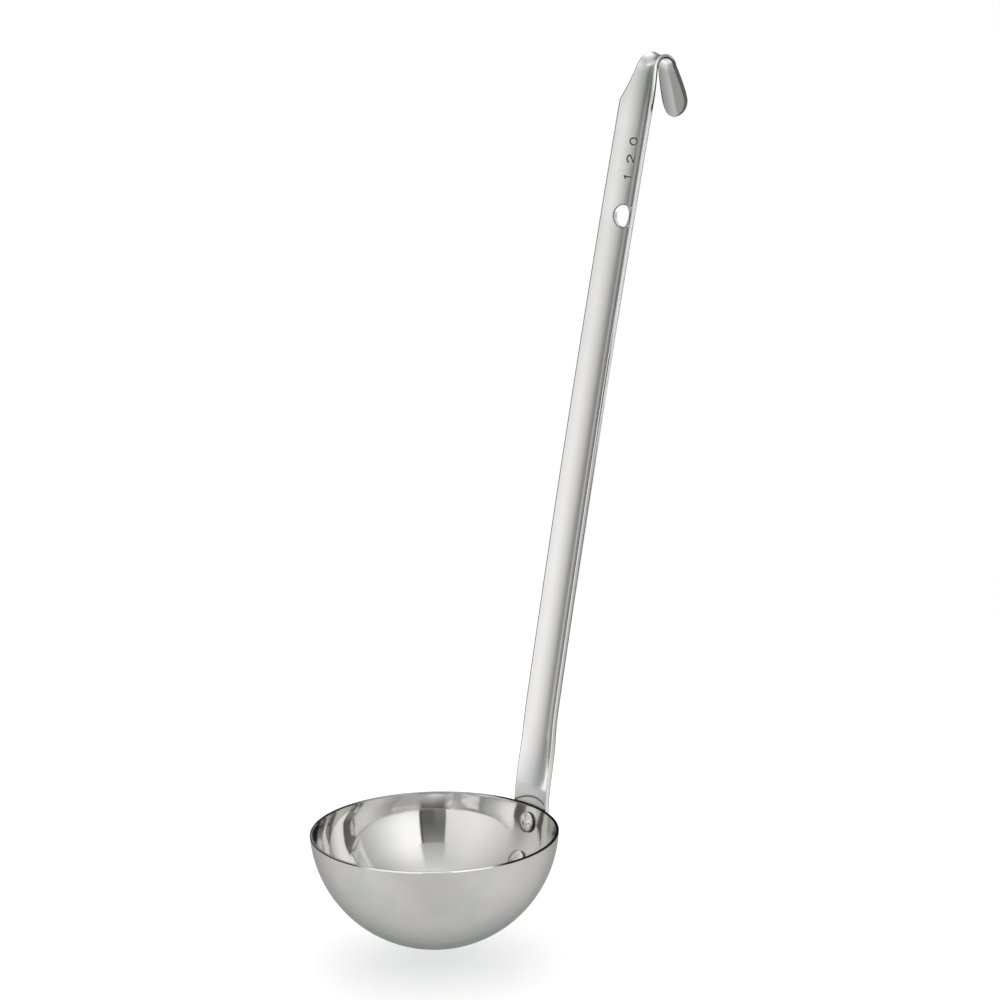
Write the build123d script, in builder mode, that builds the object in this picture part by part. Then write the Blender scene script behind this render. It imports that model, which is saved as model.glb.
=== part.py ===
from build123d import *
import os
from math import atan2, cos, degrees, radians, sin, sqrt

# A soup ladle of stainless steel: a drawn bowl, one pressed strip that makes the handle and its
# hook, and the two rivets that hold them together.
# The origin is the centre of the hanging hole, on the strip's hollow face. +Z is up, along the
# bowl's axis, and the handle rises on the bowl's +Y side. Lengths are in millimetres.

# Bowl: a round cap a little less deep than half a ball
rim_diameter = 84.0
bowl_depth = 39.8
bowl_wall = 1.0
rim_edge_radius = 0.35

# Strip: its width is taken along the hollow face, flat as it was before pressing
strip_width = 17.0
strip_thickness = 1.5
gutter_radius = 10.8

# Foot: the stretch that leaves the bowl at the rim and turns up into the gutter. The section is
# still closing to the gutter's radius a little higher.
foot_height = 24.0
foot_reach = 5.67
closing_length = 10.0

# Gutter: the long stretch, which bows back a little as it rises
gutter_below_hole = 178.99
gutter_above_hole = 38.5
bow_radius = 6200.0
lean_angle = 13.1
hole_diameter = 7.5

# Neck, crook and tip
neck_length = 12.4
neck_width = 9.2
neck_bulge = 0.25
crown_width = 7.5
crook_gap = 6.0
tip_angle = 10.4
tip_root_width = 7.9
tip_width = 12.2
tip_taper_length = 11.9
taper_power = 1.5

# Rivets: drop and pitch are taken along the bowl's outer wall
rivet_drop = 6.3
rivet_pitch = 14.0
rivet_head_diameter = 7.0
rivet_head_height = 2.4
rivet_head_edge = 1.1
rivet_shank_diameter = 4.0
rivet_hole_clearance = 0.03

# How far a cut runs past what it cuts
overrun = 2.0

# The bowl is part of a hollow ball, whose centre lies a little above the rim
rim_radius = rim_diameter / 2
ball_radius = (rim_radius**2 + bowl_depth**2) / (2 * bowl_depth)
ball_height = ball_radius - bowl_depth
inner_radius = ball_radius - bowl_wall
inner_rim_radius = sqrt(inner_radius**2 - ball_height**2)
back_radius = ball_radius + strip_thickness

across = Vector(1, 0, 0)
up = Vector(0, 0, 1)


def leaning(angle):
    """The way up the strip where it leans back from upright by an angle in degrees."""
    return Vector(0, sin(radians(angle)), cos(radians(angle)))


# The spine is the middle line of the strip's hollow face, and it lies in the plane X = 0
turn_below = degrees(gutter_below_hole / bow_radius)
turn_above = degrees(gutter_above_hole / bow_radius)
way_at_hole = leaning(lean_angle)
with BuildLine(Plane.YZ):
    spine_below = JernArc(Vector(0, 0, 0), -way_at_hole, bow_radius, turn_below)
    spine_above = JernArc(Vector(0, 0, 0), way_at_hole, bow_radius, -turn_above)
gutter_start = spine_below @ 1
gutter_start_way = -(spine_below % 1)
shoulder = spine_above @ 1
shoulder_way = spine_above % 1

# The rim's centre lies below and in front of the place where the gutter starts
rim_centre = gutter_start - Vector(0, foot_reach + rim_radius, foot_height)
ball_centre = rim_centre + up * ball_height
seat_top = rim_centre + Vector(0, rim_radius, 0)
seat_top_way = Vector(0, ball_height, rim_radius).normalized()

crook_radius = crook_gap / 2 + strip_thickness
crook_turn = 180 - tip_angle - lean_angle - turn_above
with BuildLine(Plane.YZ):
    foot = Spline(seat_top, gutter_start, tangents=(seat_top_way, gutter_start_way))
    gutter = JernArc(gutter_start, gutter_start_way, bow_radius, -turn_below - turn_above)
    neck = Line(shoulder, shoulder + shoulder_way * neck_length)
    crook = JernArc(neck @ 1, shoulder_way, crook_radius, -crook_turn)
    tip = Line(crook @ 1, crook @ 1 + (crook % 1) * tip_taper_length)


def ring_slice(place, way, width, radius):
    """The strip's section at a place on its spine: a slice of a ring, hollow to the front."""
    half_angle = degrees(width / 2 / radius)
    start_angle = 90 - half_angle
    with BuildSketch(Plane(origin=place, x_dir=across, z_dir=way)) as section:
        with BuildLine():
            front = CenterArc((0, -radius), radius, start_angle, 2 * half_angle)
            back = CenterArc((0, -radius), radius + strip_thickness, start_angle, 2 * half_angle)
            Line(front @ 0, back @ 0)
            Line(front @ 1, back @ 1)
        make_face()
    return section.sketch


def round_end(place, way, width, radius):
    """What is cut off the strip to round its end: all that lies past a circle at the place."""
    end_radius = (radius + strip_thickness) * sin(width / 2 / radius)
    depth = end_radius + strip_thickness
    with BuildPart() as offcut:
        with BuildSketch(Plane(origin=place, x_dir=across, z_dir=across.cross(way))):
            reach = end_radius + 2 * overrun
            Rectangle(2 * reach, reach, align=(Align.CENTER, Align.MIN))
            Circle(end_radius, mode=Mode.SUBTRACT)
        extrude(amount=depth, both=True)
    return offcut.part


def way_through_wall(distance):
    """The outward way through the bowl's wall, this far down its outside from the rim."""
    angle = atan2(-ball_height, rim_radius) - distance / ball_radius
    return Vector(0, cos(angle), sin(angle))


rivet_ways = {
    "upper_rivet": way_through_wall(rivet_drop),
    "lower_rivet": way_through_wall(rivet_drop + rivet_pitch),
}


def rivet_hole(way):
    """The round hole for one rivet, as a bar that reaches through the wall and the strip."""
    with BuildPart() as bar:
        with BuildSketch(Plane(origin=ball_centre + way * (inner_radius - overrun), z_dir=way)):
            Circle(rivet_shank_diameter / 2 + rivet_hole_clearance)
        extrude(amount=bowl_wall + strip_thickness + 2 * overrun)
    return bar.part


rivet_holes = [rivet_hole(way) for way in rivet_ways.values()]

with BuildPart() as bowl:
    with BuildSketch(Plane(origin=rim_centre, x_dir=across, z_dir=-Vector(0, 1, 0))):
        with BuildLine():
            outside = RadiusArc((0, -bowl_depth), (rim_radius, 0), -ball_radius)
            inside = RadiusArc((0, bowl_wall - bowl_depth), (inner_rim_radius, 0), -inner_radius)
            Line(outside @ 0, inside @ 0)
            Line(outside @ 1, inside @ 1)
        make_face()
    revolve(axis=Axis(rim_centre, up))
    fillet(bowl.edges().group_by(Axis.Z)[-1], rim_edge_radius)
    add(rivet_holes, mode=Mode.SUBTRACT)
bowl.part.label = "bowl"



def closing_radius(distance):
    """The section's radius above the rim, where it closes from the bowl's curve to the gutter's."""
    share = distance / (foot.length + closing_length)
    ease = share * share * (3 - 2 * share)
    return 1 / ((1 - ease) / ball_radius + ease / gutter_radius)


foot_steps = 8
foot_slices = []
for step in range(foot_steps + 1):
    share = step / foot_steps
    radius = closing_radius(share * foot.length)
    foot_slices.append(ring_slice(foot @ share, foot % share, strip_width, radius))

closing_steps = 3
closing_slices = []
for step in range(closing_steps + 1):
    distance = closing_length * step / closing_steps
    share = distance / gutter.length
    radius = closing_radius(foot.length + distance)
    closing_slices.append(ring_slice(gutter @ share, gutter % share, strip_width, radius))

gutter_steps = 4
gutter_slices = []
for step in range(gutter_steps + 1):
    share = closing_length / gutter.length
    share += (1 - share) * step / gutter_steps
    gutter_slices.append(ring_slice(gutter @ share, gutter % share, strip_width, gutter_radius))

# The neck tapers in from the shoulder, faster at first, and the crook is narrowest half way round
neck_steps = 4
neck_slices = []
for step in range(neck_steps + 1):
    share = step / neck_steps
    fall = share * (1 + neck_bulge * (1 - share))
    width = strip_width + (neck_width - strip_width) * fall
    neck_slices.append(ring_slice(neck @ share, shoulder_way, width, gutter_radius))

crook_steps = 8
crook_slices = []
for step in range(crook_steps + 1):
    share = step / crook_steps
    end_width = neck_width if share < 0.5 else tip_root_width
    width = crown_width + (end_width - crown_width) * (2 * share - 1) ** 2
    crook_slices.append(ring_slice(crook @ share, crook % share, width, gutter_radius))

tip_steps = 3
tip_slices = []
for step in range(tip_steps + 1):
    share = step / tip_steps
    width = tip_width + (tip_root_width - tip_width) * (1 - share) ** taper_power
    tip_slices.append(ring_slice(tip @ share, tip % share, width, gutter_radius))

seat_end_way = rivet_ways["lower_rivet"]
seat_length = rivet_drop + rivet_pitch + strip_width / 2
seat_turn = degrees((seat_length + overrun) / ball_radius)

with BuildPart() as handle:
    revolve(
        ring_slice(seat_top, seat_top_way, strip_width, ball_radius),
        axis=Axis(ball_centre, across),
        revolution_arc=-seat_turn,
    )
    loft(foot_slices)
    loft(closing_slices)
    loft(gutter_slices)
    loft(neck_slices)
    loft(crook_slices)
    loft(tip_slices)
    extrude(tip_slices[-1], amount=tip_width / 2 + overrun)
    add(round_end(tip @ 1, tip % 1, tip_width, gutter_radius), mode=Mode.SUBTRACT)
    seat_end = ball_centre + seat_end_way * ball_radius
    add(
        round_end(seat_end, seat_end_way.cross(across), strip_width, ball_radius),
        mode=Mode.SUBTRACT,
    )
    with BuildSketch(Plane(origin=(0, 0, 0), x_dir=across, z_dir=across.cross(way_at_hole))):
        Circle(hole_diameter / 2)
    extrude(amount=strip_thickness + overrun, both=True, mode=Mode.SUBTRACT)
    add(rivet_holes, mode=Mode.SUBTRACT)
handle.part.label = "handle"

os.makedirs("parts", exist_ok=True)
export_step(bowl.part, "parts/bowl.step")
export_step(handle.part, "parts/handle.step")

# Each rivet is turned about its own axis, and its heads bear on the wall and on the strip
head_radius = rivet_head_diameter / 2
shank_radius = rivet_shank_diameter / 2
for name, way in rivet_ways.items():
    with BuildPart() as rivet:
        with BuildSketch(Plane(origin=ball_centre, x_dir=across, z_dir=across.cross(way))):
            with BuildLine():
                inner_head = sqrt(inner_radius**2 - head_radius**2)
                inner_shank = sqrt(inner_radius**2 - shank_radius**2)
                outer_shank = sqrt(back_radius**2 - shank_radius**2)
                outer_head = sqrt(back_radius**2 - head_radius**2)
                inner_top = (0, inner_radius - rivet_head_height)
                outer_top = (0, back_radius + rivet_head_height)
                inner_edge = (head_radius, inner_head - rivet_head_edge)
                outer_edge = (head_radius, outer_head + rivet_head_edge)
                TangentArc(inner_top, inner_edge, tangent=(1, 0))
                Line(inner_edge, (head_radius, inner_head))
                RadiusArc((head_radius, inner_head), (shank_radius, inner_shank), -inner_radius)
                Line((shank_radius, inner_shank), (shank_radius, outer_shank))
                RadiusArc((shank_radius, outer_shank), (head_radius, outer_head), back_radius)
                Line((head_radius, outer_head), outer_edge)
                TangentArc(outer_top, outer_edge, tangent=(1, 0))
                Line(outer_top, inner_top)
            make_face()
        revolve(axis=Axis(ball_centre, way))
    rivet.part.label = name
    export_step(rivet.part, f"parts/{name}.step")
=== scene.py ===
from math import asin, atan2, ceil, cos, degrees, hypot, pi, radians, sin, sqrt

import bmesh
import bpy
from mathutils import Matrix, Vector


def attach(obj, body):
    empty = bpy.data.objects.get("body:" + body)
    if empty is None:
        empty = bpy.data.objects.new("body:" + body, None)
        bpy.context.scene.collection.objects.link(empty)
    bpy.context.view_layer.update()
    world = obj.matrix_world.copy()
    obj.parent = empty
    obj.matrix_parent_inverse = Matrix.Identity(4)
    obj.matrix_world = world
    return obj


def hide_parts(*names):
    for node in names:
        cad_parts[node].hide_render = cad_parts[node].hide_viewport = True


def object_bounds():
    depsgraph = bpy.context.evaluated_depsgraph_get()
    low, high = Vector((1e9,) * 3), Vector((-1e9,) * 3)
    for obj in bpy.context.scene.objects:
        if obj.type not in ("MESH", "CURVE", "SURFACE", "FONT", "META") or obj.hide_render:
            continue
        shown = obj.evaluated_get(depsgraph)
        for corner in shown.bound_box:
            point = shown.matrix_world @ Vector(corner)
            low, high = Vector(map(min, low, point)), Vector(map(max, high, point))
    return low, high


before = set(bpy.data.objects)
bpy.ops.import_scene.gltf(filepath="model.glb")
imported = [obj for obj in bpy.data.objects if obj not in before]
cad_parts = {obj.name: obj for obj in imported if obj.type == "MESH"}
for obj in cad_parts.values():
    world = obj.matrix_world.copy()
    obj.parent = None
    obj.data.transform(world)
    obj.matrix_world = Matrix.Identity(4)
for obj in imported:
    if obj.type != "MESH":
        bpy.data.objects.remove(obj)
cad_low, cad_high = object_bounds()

# The soup ladle's own sizes, in metres, as it was pressed. The origin is the centre of the
# hanging hole, on the strip's hollow face.
MM = 0.001

# Bowl: a cap of a hollow ball
rim_radius = 42.0 * MM
bowl_depth = 39.8 * MM
bowl_wall = 1.0 * MM
rim_edge_radius = 0.35 * MM

# Strip: the sheet that the handle and hook are pressed from
strip_width = 17.0 * MM
strip_thickness = 1.5 * MM
strip_edge_radius = 0.32 * MM
gutter_radius = 10.8 * MM
foot_height = 24.0 * MM
foot_reach = 5.67 * MM
closing_length = 10.0 * MM
gutter_below_hole = 178.99 * MM
gutter_above_hole = 38.5 * MM
bow_radius = 6200.0 * MM
lean_angle = radians(13.1)
hole_radius = 3.75 * MM
hole_edge_radius = 0.25 * MM
neck_length = 12.4 * MM
neck_width = 9.2 * MM
neck_bulge = 0.25
crown_width = 7.5 * MM
crook_gap = 6.0 * MM
tip_angle = radians(10.4)
tip_root_width = 7.9 * MM
tip_width = 12.2 * MM
tip_taper_length = 11.9 * MM
tip_round_length = 6.5 * MM
taper_power = 1.5

# Rivets
rivet_drop = 6.3 * MM
rivet_pitch = 14.0 * MM
rivet_head_radius = 3.5 * MM
rivet_head_height = 2.4 * MM
rivet_roll_radius = 0.72 * MM
rivet_shank_radius = 2.0 * MM

ball_radius = (rim_radius**2 + bowl_depth**2) / (2 * bowl_depth)
ball_height = ball_radius - bowl_depth
inner_radius = ball_radius - bowl_wall

across = Vector((1, 0, 0))
up = Vector((0, 0, 1))


def leaning(angle):
    """The way up the strip where it leans back from upright by an angle."""
    return Vector((0, sin(angle), cos(angle)))


def smooth(share):
    """Eases a share from 0 to 1."""
    share = min(max(share, 0.0), 1.0)
    return share * share * (3 - 2 * share)


# The spine: the middle line of the strip's hollow face. Distances along it are counted from the
# hanging hole, and grow towards the tip.

def turned(place, way, bend_radius, distance):
    """Follows an arc from a place: it bends to the back where the radius is above zero."""
    angle = distance / bend_radius
    back = way.cross(across)
    return (
        place + way * bend_radius * sin(angle) + back * bend_radius * (1 - cos(angle)),
        way * cos(angle) + back * sin(angle),
    )


hole_place = Vector((0, 0, 0))
hole_way = leaning(lean_angle)
gutter_start, gutter_start_way = turned(hole_place, hole_way, bow_radius, -gutter_below_hole)
shoulder, shoulder_way = turned(hole_place, hole_way, bow_radius, gutter_above_hole)
rim_centre = gutter_start - Vector((0, foot_reach + rim_radius, foot_height))
ball_centre = rim_centre + up * ball_height


def through_wall(distance):
    """The outward way through the bowl's wall, this far down its outside from the rim."""
    angle = atan2(-ball_height, rim_radius) - distance / ball_radius
    return Vector((0, cos(angle), sin(angle)))


seat_top = rim_centre + Vector((0, rim_radius, 0))
seat_top_way = Vector((0, ball_height, rim_radius)).normalized()

crook_radius = crook_gap / 2 + strip_thickness
crook_turn = pi - tip_angle - lean_angle - gutter_above_hole / bow_radius
crook_length = crook_radius * crook_turn
crook_start = shoulder + shoulder_way * neck_length
tip_root, tip_way = turned(crook_start, shoulder_way, crook_radius, crook_length)


def foot_curve():
    """The foot's middle line as a list of (distance, place, way), from the rim to the gutter."""
    steps = 200
    chord = (gutter_start - seat_top).length
    start_pull = seat_top_way * chord
    end_pull = gutter_start_way * chord
    rows = []
    run = 0.0
    for step in range(steps + 1):
        t = step / steps
        place = (
            seat_top * (2 * t**3 - 3 * t**2 + 1)
            + start_pull * (t**3 - 2 * t**2 + t)
            + gutter_start * (3 * t**2 - 2 * t**3)
            + end_pull * (t**3 - t**2)
        )
        way = (
            seat_top * (6 * t**2 - 6 * t)
            + start_pull * (3 * t**2 - 4 * t + 1)
            + gutter_start * (6 * t - 6 * t**2)
            + end_pull * (3 * t**2 - 2 * t)
        )
        if rows:
            run += (place - rows[-1][1]).length
        rows.append((run, place, way.normalized()))
    return rows


foot_rows = foot_curve()
foot_length = foot_rows[-1][0]

seat_end_at = -gutter_below_hole - foot_length - rivet_drop - rivet_pitch
rim_at = -gutter_below_hole - foot_length
gutter_at = -gutter_below_hole
shoulder_at = gutter_above_hole
crook_at = shoulder_at + neck_length
tip_at = crook_at + crook_length
tip_end_at = tip_at + tip_taper_length


def closing_radius(distance):
    """The section's radius above the rim, where it closes from the bowl's curve to the gutter's."""
    ease = smooth((distance - rim_at) / (foot_length + closing_length))
    return 1 / ((1 - ease) / ball_radius + ease / gutter_radius)


def spine(distance):
    """The place, the way and the bend across the strip at a distance along the spine."""
    if distance < rim_at:
        place, way = turned(seat_top, seat_top_way, -ball_radius, distance - rim_at)
        return place, way, ball_radius
    if distance < gutter_at:
        run = distance - rim_at
        step = max(i for i, row in enumerate(foot_rows) if row[0] <= run)
        step = min(step, len(foot_rows) - 2)
        low, high = foot_rows[step], foot_rows[step + 1]
        share = (run - low[0]) / (high[0] - low[0])
        way = low[2].lerp(high[2], share).normalized()
        return low[1].lerp(high[1], share), way, closing_radius(distance)
    if distance < shoulder_at:
        place, way = turned(hole_place, hole_way, bow_radius, distance)
        return place, way, closing_radius(distance)
    if distance < crook_at:
        return shoulder + shoulder_way * (distance - shoulder_at), shoulder_way, gutter_radius
    if distance < tip_at:
        place, way = turned(crook_start, shoulder_way, crook_radius, distance - crook_at)
        return place, way, gutter_radius
    return tip_root + tip_way * (distance - tip_at), tip_way, gutter_radius


def half_width(distance):
    """Half the strip's width along its hollow face, before its ends are rounded."""
    if distance <= shoulder_at:
        width = strip_width
    elif distance < crook_at:
        share = (distance - shoulder_at) / neck_length
        fall = share * (1 + neck_bulge * (1 - share))
        width = strip_width + (neck_width - strip_width) * fall
    elif distance < tip_at:
        share = (distance - crook_at) / crook_length
        end_width = neck_width if share < 0.5 else tip_root_width
        width = crown_width + (end_width - crown_width) * (2 * share - 1) ** 2
    elif distance < tip_end_at:
        share = (distance - tip_at) / tip_taper_length
        width = tip_width + (tip_root_width - tip_width) * (1 - share) ** taper_power
    else:
        width = tip_width
    return width / 2


def pressed(distance, sideways, depth):
    """Bends a point of the flat strip into its pressed place.

    Sideways is measured along the hollow face, and depth from it towards the back.
    """
    place, way, bend = spine(distance)
    angle = sideways / bend
    back = way.cross(across)
    reach = bend + depth
    return place + across * reach * sin(angle) + back * (reach * cos(angle) - bend)


# The stamped numbers: each digit is a list of strokes in the digit's own width and height

digit_height = 3.3 * MM
digit_width = 2.35 * MM
digit_stroke = 0.95 * MM
digit_depth = 0.22 * MM
digits_sideways = -0.7 * MM
first_digit_at = 13.3 * MM
digit_pitch = 6.0 * MM

digit_strokes = {
    "1": [("line", (0, -0.5), (0, 0.5)), ("line", (0, 0.5), (-0.3, 0.28))],
    "2": [
        ("arc", (0, 0.22), (0.5, 0.28), 170, -25),
        ("line", (0.45, 0.1), (-0.5, -0.5)),
        ("line", (-0.5, -0.5), (0.5, -0.5)),
    ],
    "0": [("arc", (0, 0), (0.5, 0.5), 360, 0)],
}


def to_segment(a, b, start, end):
    """How far a point lies from a straight stroke."""
    run_a, run_b = end[0] - start[0], end[1] - start[1]
    share = ((a - start[0]) * run_a + (b - start[1]) * run_b) / (run_a**2 + run_b**2)
    share = min(max(share, 0.0), 1.0)
    return hypot(a - start[0] - share * run_a, b - start[1] - share * run_b)


def stroke_lines(stroke):
    """A stroke as a run of points in metres, from the digit's middle."""
    if stroke[0] == "line":
        shares = [stroke[1], stroke[2]]
    else:
        middle, reach, high, low = stroke[1:]
        steps = 24
        shares = []
        for step in range(steps + 1):
            angle = radians(high + (low - high) * step / steps)
            shares.append((middle[0] + reach[0] * cos(angle), middle[1] + reach[1] * sin(angle)))
    return [(a * digit_width, b * digit_height) for a, b in shares]


stamped_lines = []
for order, digit in enumerate("120"):
    along = first_digit_at + order * digit_pitch
    for stroke in digit_strokes[digit]:
        points = [(along + a, digits_sideways - b) for a, b in stroke_lines(stroke)]
        stamped_lines.extend(zip(points, points[1:]))

digits_low = first_digit_at - digit_width
digits_high = first_digit_at + 2 * digit_pitch + digit_width
digits_left = digits_sideways - 0.5 * digit_height - digit_stroke
digits_right = digits_sideways + 0.5 * digit_height + digit_stroke


def stamp(distance, sideways):
    """How deep the stamped numbers press the hollow face at a point."""
    if not (digits_low < distance < digits_high and digits_left < sideways < digits_right):
        return 0.0
    near = min(to_segment(distance, sideways, start, end) for start, end in stamped_lines)
    return digit_depth * smooth(1 - 2 * near / digit_stroke)


# Meshes

# Points closer together than this become one
same_place = 0.0005 * MM


def new_piece(name, points, faces, materials, indices=None, measures=None):
    """Makes a smooth mesh object.

    Indices give each face's material, and measures hold one value for each point, by name.
    """
    mesh = bpy.data.meshes.new(name)
    mesh.from_pydata(points, [], faces)
    for material in materials:
        mesh.materials.append(material)
    for number, face in enumerate(mesh.polygons):
        face.use_smooth = True
        if indices:
            face.material_index = indices[number]
    for label, values in (measures or {}).items():
        mesh.attributes.new(label, "FLOAT", "POINT").data.foreach_set("value", values)
    shape = bmesh.new()
    shape.from_mesh(mesh)
    bmesh.ops.remove_doubles(shape, verts=shape.verts, dist=same_place)
    bmesh.ops.dissolve_degenerate(shape, edges=shape.edges, dist=same_place)
    bmesh.ops.recalc_face_normals(shape, faces=shape.faces)
    shape.to_mesh(mesh)
    shape.free()
    piece = bpy.data.objects.new(name, mesh)
    bpy.context.scene.collection.objects.link(piece)
    return piece


def graded(stretches, end):
    """Rising values up to an end, through stretches that each give their start and their step."""
    values = [stretches[0][0]]
    stops = [start for start, step in stretches[1:]] + [end]
    for (start, step), stop in zip(stretches, stops):
        count = max(1, ceil((stop - start) / step))
        values += [start + (stop - start) * i / count for i in range(1, count + 1)]
    return values


def rounded(radius, steps):
    """A rounded edge as (inset, drop): a quarter turn from one face to the next."""
    turns = [pi / 2 * i / steps for i in range(steps + 1)]
    return [(radius * (1 - sin(turn)), radius * (1 - cos(turn))) for turn in turns]


# The strip's mesh: a square patch round the hanging hole, and a fine grid where the numbers are
patch_half = 5.4 * MM
patch_slack = 0.01 * MM
digit_grid = 0.13 * MM
end_turns = 20

# The stretches of the strip: where each starts, and how far apart its rows are
strip_stretches = [
    (seat_end_at, 1.2 * MM),
    (rim_at, 0.3 * MM),
    (gutter_at, 1.6 * MM),
    (-patch_half, 0.45 * MM),
    (patch_half, 0.8 * MM),
    (digits_low, digit_grid),
    (digits_high, 0.7 * MM),
    (shoulder_at, 0.5 * MM),
    (crook_at, 0.3 * MM),
    (tip_at, 0.5 * MM),
]


def station_rows():
    """The strip's rows as (distance, half width, outline's turn), from the seat to the tip."""
    nudge = 0.01 * MM
    rows = []
    for step in range(end_turns):
        turn = pi / 2 * (1 - step / end_turns)
        reach = strip_width / 2
        rows.append((seat_end_at - reach * sin(turn), reach * cos(turn), -turn))
    for distance in graded(strip_stretches, tip_end_at):
        slope = (half_width(distance + nudge) - half_width(distance - nudge)) / (2 * nudge)
        rows.append((distance, half_width(distance), atan2(-slope, 1)))
    for step in range(1, end_turns + 1):
        turn = pi / 2 * step / end_turns
        rows.append((tip_end_at + tip_round_length * sin(turn), tip_width / 2 * cos(turn), turn))
    return rows


def column_shares():
    """The strip's columns as shares of half its width, closer together where the numbers are."""
    half = strip_width / 2
    outermost = 0.985
    stretches = [
        (-outermost, 0.09),
        (-patch_half / half, 0.05),
        (digits_left / half, 2 * digit_grid / strip_width),
        (digits_right / half, 0.05),
        (patch_half / half, 0.09),
    ]
    return [-1.0] + graded(stretches, outermost) + [1.0]


def edge_profile():
    """The edge from the hollow face round to the back, as (inset, depth)."""
    rows = rounded(strip_edge_radius, 4)[1:]
    back = [(inset, strip_thickness - depth) for inset, depth in reversed(rows)]
    return rows + [(0.0, strip_thickness / 2)] + back


def hole_profile():
    """The hole's wall with its two rounded edges, as (radius, depth) from the hollow face."""
    rows = [(hole_radius + inset, depth) for inset, depth in rounded(hole_edge_radius, 3)]
    return rows + [(radius, strip_thickness - depth) for radius, depth in reversed(rows)]


def in_patch(place):
    """Whether a place along or across the strip lies in the square patch round the hole."""
    return abs(place) < patch_half + patch_slack


class StripMesh:
    """The pressed strip's mesh: closed loops of points round its section, row by row.

    A loop runs over the hollow face, round the right edge, back over the back and round the left
    edge. In the square patch the faces are left out, and rings lead from there to the hole.
    """

    def __init__(self):
        self.rows = station_rows()
        self.columns = column_shares()
        self.edge = edge_profile()
        self.size = 2 * (len(self.columns) + len(self.edge))
        self.inner_half = strip_width / 2 - strip_edge_radius
        self.points = []
        self.measures = []
        self.faces = []
        places = [share * self.inner_half for share in self.columns]
        self.patch_rows = [i for i, row in enumerate(self.rows) if in_patch(row[0])]
        self.patch_columns = [i for i, place in enumerate(places) if in_patch(place)]

    def put(self, distance, sideways, depth, side, sunk=0.0):
        """Adds one point of the strip, with what its finish follows there."""
        self.points.append(pressed(distance, sideways, depth + sunk))
        measures = (sunk / digit_depth, depth / strip_thickness, distance / MM, side)
        self.measures.append(measures)

    def add_loop(self, row):
        """One closed loop of points round the strip at a row."""
        distance, half, turn = row
        inner = max(half - strip_edge_radius * cos(turn), 0.0)
        inner_at = distance - strip_edge_radius * sin(turn)
        for share in self.columns:
            sunk = stamp(inner_at, share * inner)
            self.put(inner_at, share * inner, 0.0, share, sunk)
        for inset, depth in self.edge:
            reach = max(half - inset * cos(turn), 0.0)
            self.put(distance - inset * sin(turn), reach, depth, 1.0)
        for share in reversed(self.columns):
            self.put(inner_at, share * inner, strip_thickness, share)
        for inset, depth in reversed(self.edge):
            reach = max(half - inset * cos(turn), 0.0)
            self.put(distance - inset * sin(turn), -reach, depth, -1.0)

    def back_index(self, column):
        """Where a column of the hollow face lies on the back, in the order of a loop."""
        return 2 * len(self.columns) + len(self.edge) - 1 - column

    def left_out(self, r, c):
        """Whether the face after a row and a place in the loop lies in the square patch."""
        rows, columns = self.patch_rows, self.patch_columns
        in_front = columns[0] <= c < columns[-1]
        behind = self.back_index(columns[-1]) <= c < self.back_index(columns[0])
        return rows[0] <= r < rows[-1] and (in_front or behind)

    def add_body(self):
        """All the loops, and the faces between them but for the patch."""
        for row in self.rows:
            self.add_loop(row)
        size = self.size
        for r in range(len(self.rows) - 1):
            for c in range(size):
                if self.left_out(r, c):
                    continue
                after = (c + 1) % size
                low, high = r * size, (r + 1) * size
                self.faces.append((low + c, low + after, high + after, high + c))

    def patch_ring(self):
        """The patch's edge as (row, column), once round."""
        rows, columns = self.patch_rows, self.patch_columns
        ring = [(rows[0], c) for c in columns[:-1]]
        ring += [(r, columns[-1]) for r in rows[:-1]]
        ring += [(rows[-1], c) for c in columns[:0:-1]]
        ring += [(r, columns[0]) for r in rows[:0:-1]]
        return ring

    def add_ring(self, ring, radius, depth, blend):
        """One ring of points, blended from the patch's edge to a circle at the hole."""
        for r, c in ring:
            along = self.rows[r][0]
            sideways = self.columns[c] * self.inner_half
            angle = atan2(along, sideways)
            hole_side = gutter_radius * asin(radius * cos(angle) / (gutter_radius + depth))
            hole_along = radius * sin(angle)
            self.put(
                along + (hole_along - along) * blend,
                sideways + (hole_side - sideways) * blend,
                depth,
                self.columns[c],
            )

    def bridge(self, before, now):
        """Faces between two rings of points."""
        for i in range(len(now)):
            j = (i + 1) % len(now)
            self.faces.append((before[i], now[i], now[j], before[j]))

    def add_hole(self):
        """Rings from the patch's edge to the hole, through it and out to the patch on the back."""
        ring = self.patch_ring()
        profile = hole_profile()
        # How far the rings on the two faces lie from the patch's edge towards the hole
        blends = [0.3, 0.6, 0.8, 0.93]
        layers = [(profile[0], blend) for blend in blends]
        layers += [(place, 1.0) for place in profile]
        layers += [(profile[-1], blend) for blend in reversed(blends)]
        before = [r * self.size + c for r, c in ring]
        for (radius, depth), blend in layers:
            start = len(self.points)
            self.add_ring(ring, radius, depth, blend)
            now = list(range(start, start + len(ring)))
            self.bridge(before, now)
            before = now
        self.bridge(before, [r * self.size + self.back_index(c) for r, c in ring])


def handle_mesh(materials):
    """The pressed strip, with rounded edges, stamped numbers and the hanging hole."""
    strip = StripMesh()
    strip.add_body()
    strip.add_hole()
    labels = ("stamped", "depth", "along", "side")
    measures = dict(zip(labels, zip(*strip.measures)))
    return new_piece("ladle_handle", strip.points, strip.faces, materials, None, measures)


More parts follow.
